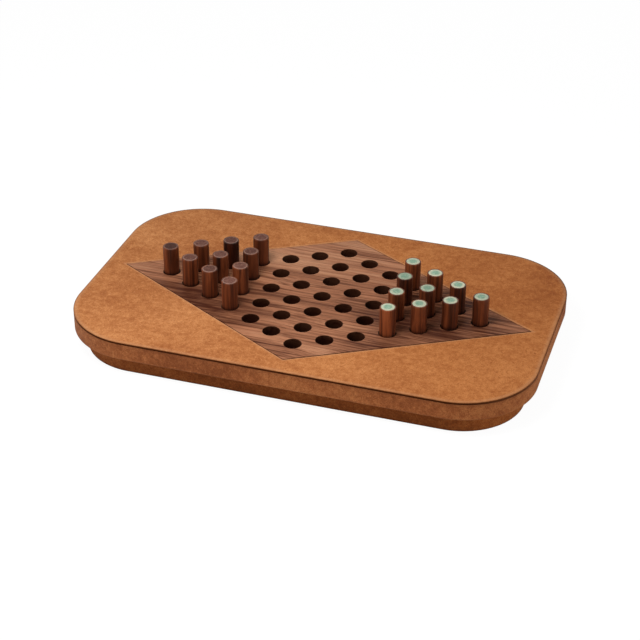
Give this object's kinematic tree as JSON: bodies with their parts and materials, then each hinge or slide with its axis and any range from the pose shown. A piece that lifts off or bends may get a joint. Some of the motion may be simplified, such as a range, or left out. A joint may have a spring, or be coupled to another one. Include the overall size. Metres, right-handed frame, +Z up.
{
  "type": "chinese checkers board",
  "caption": "Low rounded game board in tan suede on a set-in plinth, with a drilled walnut rhombus let into its top and turned wooden pegs with leather discs that lift out.",
  "frame": {"origin": "middle of the underside, on the surface that the board stands on", "axes": "+X along the long side, from the dark home to the green home; +Y from the front long side to the back one; +Z up"},
  "size_m": [0.449, 0.2748, 0.0672],
  "materials": {
    "suede": "tan suede, napped",
    "welt_leather": "dark dyed leather edge",
    "walnut": "satin oiled walnut",
    "peg_wood": "satin lacquered dark wood",
    "fibreboard": "raw fibreboard, hidden",
    "burgundy_leather": "grained leather",
    "green_leather": "grained leather",
    "base_lining": "brown suede lining"
  },
  "bodies": {
    "board": {"top_sheet": "suede", "edge_welt": "welt_leather", "slab_band": "suede", "walnut_inlay": "walnut", "slab_core": "fibreboard", "overhang_lining": "suede", "plinth_core": "fibreboard", "plinth_band": "suede", "base_lining": "base_lining"},
    "peg_dark_01": {"peg_dark_01": "peg_wood", "cap_dark_01": "burgundy_leather"},
    "peg_dark_02": {"peg_dark_02": "peg_wood", "cap_dark_02": "burgundy_leather"},
    "peg_dark_03": {"peg_dark_03": "peg_wood", "cap_dark_03": "burgundy_leather"},
    "peg_dark_04": {"peg_dark_04": "peg_wood", "cap_dark_04": "burgundy_leather"},
    "peg_dark_05": {"peg_dark_05": "peg_wood", "cap_dark_05": "burgundy_leather"},
    "peg_dark_06": {"peg_dark_06": "peg_wood", "cap_dark_06": "burgundy_leather"},
    "peg_dark_07": {"peg_dark_07": "peg_wood", "cap_dark_07": "burgundy_leather"},
    "peg_dark_08": {"peg_dark_08": "peg_wood", "cap_dark_08": "burgundy_leather"},
    "peg_dark_09": {"peg_dark_09": "peg_wood", "cap_dark_09": "burgundy_leather"},
    "peg_dark_10": {"peg_dark_10": "peg_wood", "cap_dark_10": "burgundy_leather"},
    "peg_green_01": {"peg_green_01": "peg_wood", "cap_green_01": "green_leather"},
    "peg_green_02": {"peg_green_02": "peg_wood", "cap_green_02": "green_leather"},
    "peg_green_03": {"peg_green_03": "peg_wood", "cap_green_03": "green_leather"},
    "peg_green_04": {"peg_green_04": "peg_wood", "cap_green_04": "green_leather"},
    "peg_green_05": {"peg_green_05": "peg_wood", "cap_green_05": "green_leather"},
    "peg_green_06": {"peg_green_06": "peg_wood", "cap_green_06": "green_leather"},
    "peg_green_07": {"peg_green_07": "peg_wood", "cap_green_07": "green_leather"},
    "peg_green_08": {"peg_green_08": "peg_wood", "cap_green_08": "green_leather"},
    "peg_green_09": {"peg_green_09": "peg_wood", "cap_green_09": "green_leather"},
    "peg_green_10": {"peg_green_10": "peg_wood", "cap_green_10": "green_leather"}
  },
  "joints": [
    {"name": "lift_dark_01", "type": "slide", "parent": "board", "child": "peg_dark_01", "axis": [0, 0, 1], "range_m": [0, 0.045]},
    {"name": "lift_dark_02", "type": "slide", "parent": "board", "child": "peg_dark_02", "axis": [0, 0, 1], "range_m": [0, 0.045]},
    {"name": "lift_dark_03", "type": "slide", "parent": "board", "child": "peg_dark_03", "axis": [0, 0, 1], "range_m": [0, 0.045]},
    {"name": "lift_dark_04", "type": "slide", "parent": "board", "child": "peg_dark_04", "axis": [0, 0, 1], "range_m": [0, 0.045]},
    {"name": "lift_dark_05", "type": "slide", "parent": "board", "child": "peg_dark_05", "axis": [0, 0, 1], "range_m": [0, 0.045]},
    {"name": "lift_dark_06", "type": "slide", "parent": "board", "child": "peg_dark_06", "axis": [0, 0, 1], "range_m": [0, 0.045]},
    {"name": "lift_dark_07", "type": "slide", "parent": "board", "child": "peg_dark_07", "axis": [0, 0, 1], "range_m": [0, 0.045]},
    {"name": "lift_dark_08", "type": "slide", "parent": "board", "child": "peg_dark_08", "axis": [0, 0, 1], "range_m": [0, 0.045]},
    {"name": "lift_dark_09", "type": "slide", "parent": "board", "child": "peg_dark_09", "axis": [0, 0, 1], "range_m": [0, 0.045]},
    {"name": "lift_dark_10", "type": "slide", "parent": "board", "child": "peg_dark_10", "axis": [0, 0, 1], "range_m": [0, 0.045]},
    {"name": "lift_green_01", "type": "slide", "parent": "board", "child": "peg_green_01", "axis": [0, 0, 1], "range_m": [0, 0.045]},
    {"name": "lift_green_02", "type": "slide", "parent": "board", "child": "peg_green_02", "axis": [0, 0, 1], "range_m": [0, 0.045]},
    {"name": "lift_green_03", "type": "slide", "parent": "board", "child": "peg_green_03", "axis": [0, 0, 1], "range_m": [0, 0.045]},
    {"name": "lift_green_04", "type": "slide", "parent": "board", "child": "peg_green_04", "axis": [0, 0, 1], "range_m": [0, 0.045]},
    {"name": "lift_green_05", "type": "slide", "parent": "board", "child": "peg_green_05", "axis": [0, 0, 1], "range_m": [0, 0.045]},
    {"name": "lift_green_06", "type": "slide", "parent": "board", "child": "peg_green_06", "axis": [0, 0, 1], "range_m": [0, 0.045]},
    {"name": "lift_green_07", "type": "slide", "parent": "board", "child": "peg_green_07", "axis": [0, 0, 1], "range_m": [0, 0.045]},
    {"name": "lift_green_08", "type": "slide", "parent": "board", "child": "peg_green_08", "axis": [0, 0, 1], "range_m": [0, 0.045]},
    {"name": "lift_green_09", "type": "slide", "parent": "board", "child": "peg_green_09", "axis": [0, 0, 1], "range_m": [0, 0.045]},
    {"name": "lift_green_10", "type": "slide", "parent": "board", "child": "peg_green_10", "axis": [0, 0, 1], "range_m": [0, 0.045]}
  ]
}
